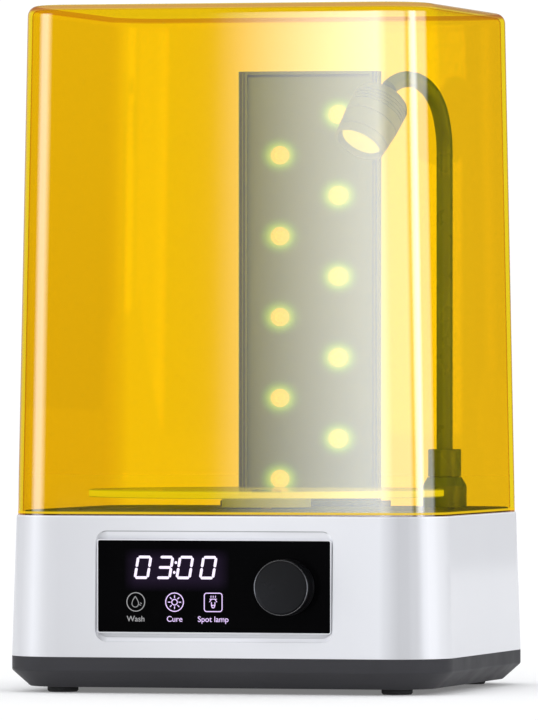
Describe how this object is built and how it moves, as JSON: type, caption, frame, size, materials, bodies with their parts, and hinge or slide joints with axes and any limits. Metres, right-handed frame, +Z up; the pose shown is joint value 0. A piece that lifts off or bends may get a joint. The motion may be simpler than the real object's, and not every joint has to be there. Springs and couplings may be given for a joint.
{
  "type": "resin wash and cure station",
  "caption": "Countertop resin wash and cure station: white rounded base with display and knob, amber lift-off cover, lamp tower, clear turntable and a flexible spot lamp.",
  "frame": {"origin": "centre of the footprint box, on the table under the feet", "axes": "+Z up, the display and knob face -Y, +X is the side of the knob and of the spot lamp"},
  "size_m": [0.241, 0.2328, 0.365],
  "materials": {
    "white_shell": "fine satin moulding",
    "grey_pan": "fine matt moulding",
    "dark_deck": "satin",
    "black_rubber": "matt",
    "screw_steel": "zinc plated",
    "panel_black": "high gloss",
    "display_dark": "gloss, lit white digits",
    "board_green": "solder mask",
    "black_plastic": "satin",
    "knob_black": "gloss with a satin side",
    "brass_part": "turned",
    "motor_steel": "zinc plated",
    "bracket_aluminium": "pressed sheet",
    "rotor_white": "natural nylon",
    "magnet_nickel": "nickel plated",
    "clear_acrylic": "clear, polished edge",
    "tower_aluminium": "bead blasted",
    "sink_aluminium": "extruded",
    "led_board_grey": "solder mask",
    "emitter": "lit",
    "lens_clear": "moulded optic",
    "neck_black": "satin sleeve",
    "lamp_dark": "painted satin",
    "amber_acrylic": "polished amber",
    "loom_black": "matt sleeve"
  },
  "bodies": {
    "base": {"housing": "white_shell", "bottom_pan": "grey_pan", "deck_plate": "dark_deck", "rubber_feet": "black_rubber", "base_screws": "screw_steel", "control_panel": "panel_black", "display_module": "display_dark", "display_board": "board_green", "display_screws": "screw_steel", "encoder_body": "black_plastic", "main_board": "board_green", "board_components": "black_plastic", "board_standoffs": "brass_part", "board_screws": "screw_steel", "drive_motor": "motor_steel", "motor_bracket": "bracket_aluminium", "motor_screws": "screw_steel", "turntable_pin": "screw_steel", "fan_frame": "black_plastic", "fan_screws": "screw_steel", "dc_inlet": "black_plastic", "rocker_bezel": "black_plastic", "cover_sensor": "black_plastic", "wiring_loom": "loom_black", "tower_foot": "dark_deck", "tower_frame": "tower_aluminium", "tower_cap": "tower_aluminium", "tower_heat_sink": "sink_aluminium", "led_board": "led_board_grey", "led_emitters": "emitter", "led_lenses": "lens_clear", "tower_screws": "screw_steel", "neck_socket": "dark_deck", "socket_nut": "screw_steel"},
    "cover": {"cover_shell": "amber_acrylic"},
    "turntable": {"turntable_disc": "clear_acrylic", "turntable_hub": "rotor_white", "hub_bushing": "brass_part", "hub_magnets": "magnet_nickel"},
    "drive_rotor": {"motor_shaft": "screw_steel", "magnet_rotor": "rotor_white", "rotor_magnets": "magnet_nickel"},
    "fan_rotor": {"fan_impeller": "black_plastic"},
    "knob_slide": {"encoder_plunger": "screw_steel"},
    "knob": {"knob_cap": "knob_black", "encoder_shaft": "screw_steel"},
    "power_rocker": {"rocker_button": "black_plastic"},
    "neck_base": {"neck_plug": "dark_deck"},
    "neck_stem": {"gooseneck_stem": "neck_black"},
    "neck_arch": {"gooseneck_arch": "neck_black"},
    "lamp_head": {"lamp_rear_cap": "lamp_dark", "lamp_body": "lamp_dark", "lamp_bezel": "lamp_dark", "lamp_lens": "lens_clear", "lamp_emitter": "emitter"}
  },
  "joints": [
    {"name": "cover_lift", "type": "slide", "parent": "base", "child": "cover", "axis": [0, 0, 1], "range_m": [0, 0.26]},
    {"name": "turntable_spin", "type": "hinge", "parent": "base", "child": "turntable", "pos_m": [0, 0.00025, 0.104], "axis": [0, 0, 1], "continuous": true},
    {"name": "rotor_spin", "type": "hinge", "parent": "base", "child": "drive_rotor", "pos_m": [0, 0.00025, 0.085], "axis": [0, 0, 1], "continuous": true},
    {"name": "fan_spin", "type": "hinge", "parent": "base", "child": "fan_rotor", "pos_m": [-0.06, 0.10375, 0.057], "axis": [0, 1, 0], "continuous": true},
    {"name": "knob_press", "type": "slide", "parent": "base", "child": "knob_slide", "axis": [0, 1, 0], "range_m": [0, 0.0005], "stiffness_N_per_m": 900},
    {"name": "knob_turn", "type": "hinge", "parent": "knob_slide", "child": "knob", "pos_m": [0.0379, -0.10925, 0.0569], "axis": [0, 1, 0], "continuous": true},
    {"name": "power_switch", "type": "hinge", "parent": "base", "child": "power_rocker", "pos_m": [0.082, 0.11235, 0.048], "axis": [1, 0, 0], "range_deg": [-14, 0]},
    {"name": "neck_swivel", "type": "hinge", "parent": "base", "child": "neck_base", "pos_m": [0.0793, 0.08075, 0.104], "axis": [0, 0, 1], "range_deg": [-25, 25]},
    {"name": "neck_sway", "type": "hinge", "parent": "neck_base", "child": "neck_stem", "pos_m": [0.0793, 0.08075, 0.1345], "axis": [0.8813, -0.4726, 0], "range_deg": [-4, 8]},
    {"name": "arch_bend", "type": "hinge", "parent": "neck_stem", "child": "neck_arch", "pos_m": [0.0793, 0.08075, 0.29005], "axis": [0.8813, -0.4726, 0], "range_deg": [-8, 14]},
    {"name": "lamp_tilt", "type": "hinge", "parent": "neck_arch", "child": "lamp_head", "pos_m": [0.058, 0.04102, 0.32364], "axis": [0.8813, -0.4726, 0], "range_deg": [-25, 28]}
  ],
  "couplings": [
    {"joint": "rotor_spin", "follows": "turntable_spin", "ratio": 1}
  ]
}
